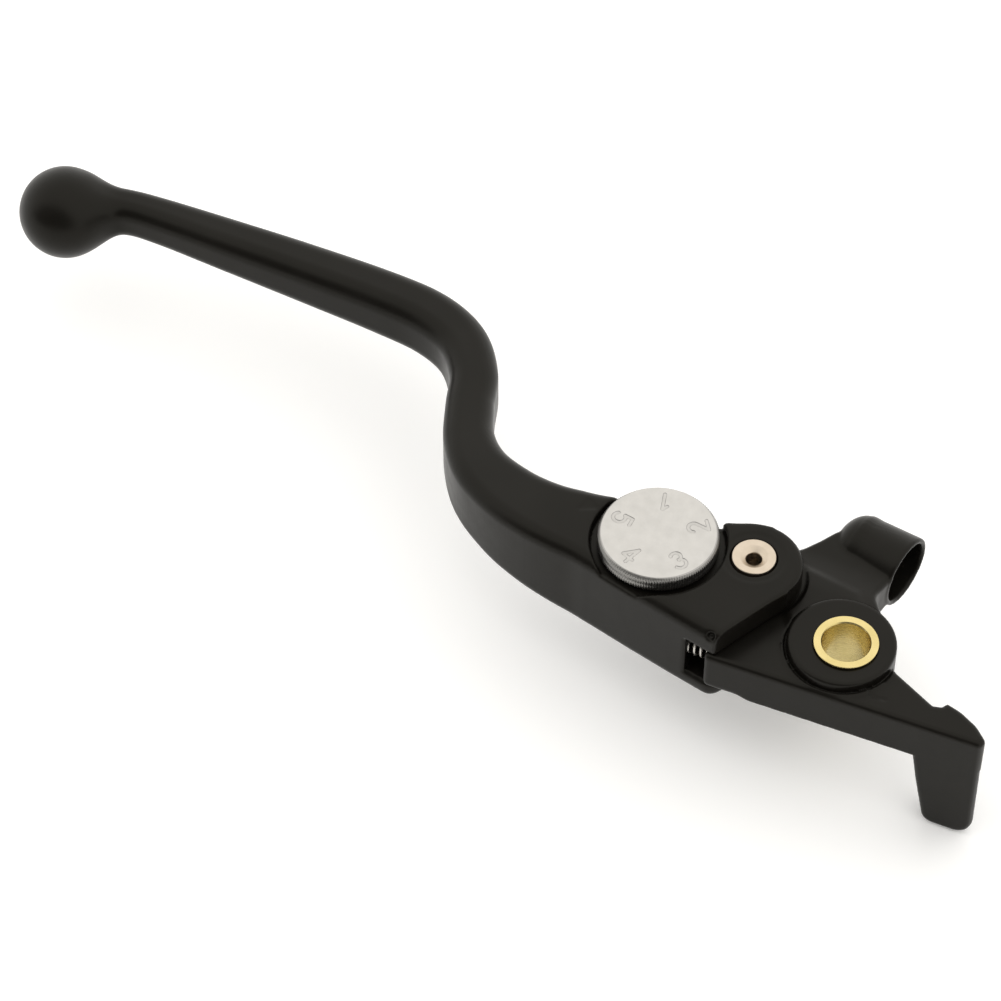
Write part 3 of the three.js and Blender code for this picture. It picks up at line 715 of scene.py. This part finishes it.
WIRE_R = 0.3
SPRING_PITCH = 1.1
STEPS_PER_TURN = 32
WIRE_SIDES = 10


def return_spring():
    low, high = SPRING_LOW, SPRING_HIGH
    radius = (high[1] - low[1]) / 2 - WIRE_R
    y = (low[1] + high[1]) / 2
    length = high[0] - low[0] - 2 * WIRE_R
    turns = int(length / SPRING_PITCH)
    steps = turns * STEPS_PER_TURN
    rings = []
    for i in range(steps + 1):
        t = i / steps
        a = 2 * math.pi * turns * t
        out = np.array([0, math.cos(a), math.sin(a)])
        centre = np.array([low[0] + WIRE_R + length * t, y, 0]) + radius * out
        rings.append([
            (centre + WIRE_R * (math.cos(b) * out + math.sin(b) * np.array([1, 0, 0]))) * MM
            for b in np.linspace(0, 2 * math.pi, WIRE_SIDES, endpoint=False)
        ])
    piece = ring_mesh("return_spring_coil", rings)
    if signed_volume(piece) < 0:
        piece.data.flip_normals()
    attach(piece, "inner_lever")
    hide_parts("return_spring")
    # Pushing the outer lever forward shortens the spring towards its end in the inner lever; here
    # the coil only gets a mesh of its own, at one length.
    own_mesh(piece)
    return piece


# ------------------------------------------------------------------ materials

def new_material(name, base, metallic, roughness, specular=0.5):
    material = bpy.data.materials.new(name)
    material.use_nodes = True
    nodes = material.node_tree.nodes
    shader = nodes["Principled BSDF"]
    shader.inputs["Base Color"].default_value = (*base, 1)
    shader.inputs["Metallic"].default_value = metallic
    shader.inputs["Roughness"].default_value = roughness
    shader.inputs["Specular IOR Level"].default_value = specular
    return material, material.node_tree, shader


def noise(tree, scale, detail, stretch=(1, 1, 1)):
    """A noise texture in the object's own metres, stretched along its axes."""
    place = tree.nodes.new("ShaderNodeTexCoord")
    mapping = tree.nodes.new("ShaderNodeMapping")
    mapping.inputs["Scale"].default_value = stretch
    texture = tree.nodes.new("ShaderNodeTexNoise")
    texture.inputs["Scale"].default_value = scale
    texture.inputs["Detail"].default_value = detail
    tree.links.new(place.outputs["Object"], mapping.inputs["Vector"])
    tree.links.new(mapping.outputs["Vector"], texture.inputs["Vector"])
    return texture.outputs["Fac"]


def ramp(tree, source, stops):
    node = tree.nodes.new("ShaderNodeValToRGB")
    node.color_ramp.elements[0].position = stops[0][0]
    node.color_ramp.elements[0].color = (*stops[0][1], 1)
    node.color_ramp.elements[1].position = stops[-1][0]
    node.color_ramp.elements[1].color = (*stops[-1][1], 1)
    for position, colour in stops[1:-1]:
        node.color_ramp.elements.new(position).color = (*colour, 1)
    tree.links.new(source, node.inputs["Fac"])
    return node.outputs["Color"]


def spread(tree, source, low, high):
    """The source's middle range mapped to low..high."""
    node = tree.nodes.new("ShaderNodeMapRange")
    node.inputs["From Min"].default_value = 0.3
    node.inputs["From Max"].default_value = 0.7
    node.inputs["To Min"].default_value = low
    node.inputs["To Max"].default_value = high
    tree.links.new(source, node.inputs["Value"])
    return node.outputs["Result"]


def bump(tree, source, distance, strength):
    node = tree.nodes.new("ShaderNodeBump")
    node.inputs["Distance"].default_value = distance
    node.inputs["Strength"].default_value = strength
    tree.links.new(source, node.inputs["Height"])
    return node.outputs["Normal"]


def black_coating():
    """Satin black coating over a casting: faint orange peel, and slow changes of gloss and tone."""
    material, tree, shader = new_material("black_coating", (0.005, 0.0043, 0.0034), 0.0, 0.33, 0.17)
    shader.inputs["Specular Tint"].default_value = (1.0, 0.975, 0.88, 1)
    tone = ramp(tree, noise(tree, 90, 3), [
        (0.3, (0.0042, 0.0036, 0.0028)), (0.7, (0.006, 0.0052, 0.0042)),
    ])
    tree.links.new(tone, shader.inputs["Base Color"])
    tree.links.new(spread(tree, noise(tree, 260, 5), 0.29, 0.37), shader.inputs["Roughness"])
    tree.links.new(bump(tree, noise(tree, 1500, 2), 0.00002, 0.25), shader.inputs["Normal"])
    return material


def satin_aluminium():
    material, tree, shader = new_material("satin_aluminium", (0.54, 0.525, 0.5), 1.0, 0.38)
    tone = ramp(tree, noise(tree, 500, 5), [
        (0.3, (0.51, 0.497, 0.473)), (0.7, (0.56, 0.545, 0.52)),
    ])
    # From the shade band's depth below the top, upwards: painted shade over the knurled rim and all
    # below it, the bright floors of the stamped numbers, painted shade on their walls, and the
    # bright top.
    place = tree.nodes.new("ShaderNodeTexCoord")
    split = tree.nodes.new("ShaderNodeSeparateXYZ")
    tree.links.new(place.outputs["Object"], split.inputs["Vector"])
    depth = tree.nodes.new("ShaderNodeMapRange")
    depth.inputs["From Min"].default_value = (WHEEL_HIGH[2] - DIAL_SHADE_DEPTH) * MM
    depth.inputs["From Max"].default_value = WHEEL_HIGH[2] * MM
    tree.links.new(split.outputs["Z"], depth.inputs["Value"])
    # Painted shade: the rim and everything below it at half brightness, and the stamped numbers'
    # walls darker than the top.
    dial_painted_shade = ramp(tree, depth.outputs["Result"], [
        (0.0, (0.5, 0.5, 0.5)), (0.02, (0.95, 0.95, 0.95)), (0.2, (0.95, 0.95, 0.95)),
        (0.35, (0.55, 0.55, 0.56)), (0.6, (0.55, 0.55, 0.56)), (0.78, (1, 1, 1)),
    ])
    mix = tree.nodes.new("ShaderNodeMix")
    mix.data_type = "RGBA"
    mix.blend_type = "MULTIPLY"
    mix.inputs["Factor"].default_value = 1.0
    tree.links.new(tone, mix.inputs[6])
    tree.links.new(dial_painted_shade, mix.inputs[7])
    tree.links.new(mix.outputs[2], shader.inputs["Base Color"])
    tree.links.new(spread(tree, noise(tree, 3000, 3), 0.32, 0.44), shader.inputs["Roughness"])
    tree.links.new(bump(tree, noise(tree, 6000, 2), 0.000006, 0.3), shader.inputs["Normal"])
    return material


def turned_metal(name, dark, light, rough):
    """Metal with the fine rings a lathe leaves, which are close together along the axis."""
    material, tree, shader = new_material(name, light, 1.0, rough)
    tone = ramp(tree, noise(tree, 400, 4), [(0.3, dark), (0.7, light)])
    tree.links.new(tone, shader.inputs["Base Color"])
    tree.links.new(spread(tree, noise(tree, 900, 4, (0.3, 0.3, 4)), rough - 0.05, rough + 0.07),
                   shader.inputs["Roughness"])
    rings = bump(tree, noise(tree, 2500, 2, (0.15, 0.15, 5)), 0.000008, 0.35)
    tree.links.new(rings, shader.inputs["Normal"])
    return material


def rubber():
    material, tree, shader = new_material("rubber", (0.02, 0.02, 0.02), 0.0, 0.8)
    tone = ramp(tree, noise(tree, 800, 3), [
        (0.3, (0.014, 0.014, 0.014)), (0.7, (0.028, 0.028, 0.028)),
    ])
    tree.links.new(tone, shader.inputs["Base Color"])
    tree.links.new(spread(tree, noise(tree, 1200, 3), 0.7, 0.9), shader.inputs["Roughness"])
    return material


def paint(piece, material):
    piece.data.materials.clear()
    piece.data.materials.append(material)


def paint_frame_nodes(finishes):
    """Gives the CAD nodes that stay in view the same finishes."""
    slots = {row["node"]: row["material_slot"] for row in frame["record"]["subparts"]}
    for name, node in frame["nodes"].items():
        if node.material_slots:
            for place in node.material_slots:
                place.material = finishes[slots[name]]


# ------------------------------------------------------------------ stage, light and camera

FLOOR_HALF = 3.0
FLOOR_GAP = 0.0002
TABLE_GLOW = 0.15
TENT_WHITE = (1.0, 0.985, 0.955, 1)
TENT_STRENGTH = 1.35
DIM_FRONT = 0.2
FRONT_Y = (-0.75, -0.4)  # a direction's Y, where the tent goes from dim to full strength
# The viewpoint and lens worked out from the photo, in metres, degrees and millimetres.
CAMERA_AT = (0.1207, -0.3684, 0.5032)
CAMERA_AZIMUTH = 26.6
CAMERA_ELEVATION = 50.2
CAMERA_LENS = 136.7


def stage():
    floor_z = CAD_BOX[0][2] - FLOOR_GAP
    corners = [(x * FLOOR_HALF, y * FLOOR_HALF, floor_z)
               for x, y in ((-1, -1), (1, -1), (1, 1), (-1, 1))]
    floor = mesh_object("floor", corners, [(0, 1, 2, 3)])
    material, tree, shader = new_material("floor", (0.95, 0.95, 0.95), 0.0, 0.9, 0.1)
    tone = ramp(tree, noise(tree, 3, 2), [(0.3, (0.94, 0.94, 0.94)), (0.7, (0.96, 0.96, 0.96))])
    tree.links.new(tone, shader.inputs["Base Color"])
    # The table is translucent and lit a little from below, which keeps the shadow faint.
    shader.inputs["Emission Color"].default_value = (1.0, 0.995, 0.98, 1)
    shader.inputs["Emission Strength"].default_value = TABLE_GLOW
    paint(floor, material)


def lights():
    """A white tent, even all round but for the viewer's side, where the room is dim."""
    world = bpy.data.worlds.new("studio")
    world.use_nodes = True
    tree = world.node_tree
    place = tree.nodes.new("ShaderNodeTexCoord")
    split = tree.nodes.new("ShaderNodeSeparateXYZ")
    tree.links.new(place.outputs["Generated"], split.inputs["Vector"])
    front = tree.nodes.new("ShaderNodeMapRange")
    front.interpolation_type = "SMOOTHSTEP"
    front.inputs["From Min"].default_value = FRONT_Y[0]
    front.inputs["From Max"].default_value = FRONT_Y[1]
    front.inputs["To Min"].default_value = DIM_FRONT
    front.inputs["To Max"].default_value = TENT_STRENGTH
    tree.links.new(split.outputs["Y"], front.inputs["Value"])
    tree.links.new(front.outputs["Result"], tree.nodes["Background"].inputs["Strength"])
    tree.nodes["Background"].inputs["Color"].default_value = TENT_WHITE
    bpy.context.scene.world = world
    bpy.context.scene.view_settings.view_transform = "Standard"


def camera():
    """Looks from the front and above, at the angle from which the dial's numbers read."""
    azimuth = math.radians(CAMERA_AZIMUTH)
    elevation = math.radians(CAMERA_ELEVATION)
    data = bpy.data.cameras.new("camera")
    data.sensor_width = 36
    data.lens = CAMERA_LENS
    data.clip_start = 0.01
    view = bpy.data.objects.new("camera", data)
    bpy.context.collection.objects.link(view)
    view.location = CAMERA_AT
    view.rotation_euler = (math.pi / 2 - elevation, 0, azimuth)
    bpy.context.scene.camera = view


# ------------------------------------------------------------------ assembly

finishes = {
    "black_coating": black_coating(),
    "satin_aluminium": satin_aluminium(),
    "bush_brass": turned_metal("bush_brass", (0.63, 0.515, 0.22), (0.71, 0.585, 0.27), 0.26),
    "nickel_plate": turned_metal("nickel_plate", (0.55, 0.47, 0.37), (0.63, 0.54, 0.44), 0.32),
    "steel": turned_metal("steel", (0.55, 0.53, 0.5), (0.72, 0.69, 0.64), 0.3),
    "rubber": rubber(),
}
paint_frame_nodes(finishes)
paint(outer_lever(), finishes["black_coating"])
paint(inner_lever(), finishes["black_coating"])
paint(adjuster_wheel(), finishes["satin_aluminium"])
paint(pivot_bush(), finishes["bush_brass"])
paint(hinge_rivet(), finishes["nickel_plate"])
paint(return_spring(), finishes["steel"])
stage()
lights()
camera()
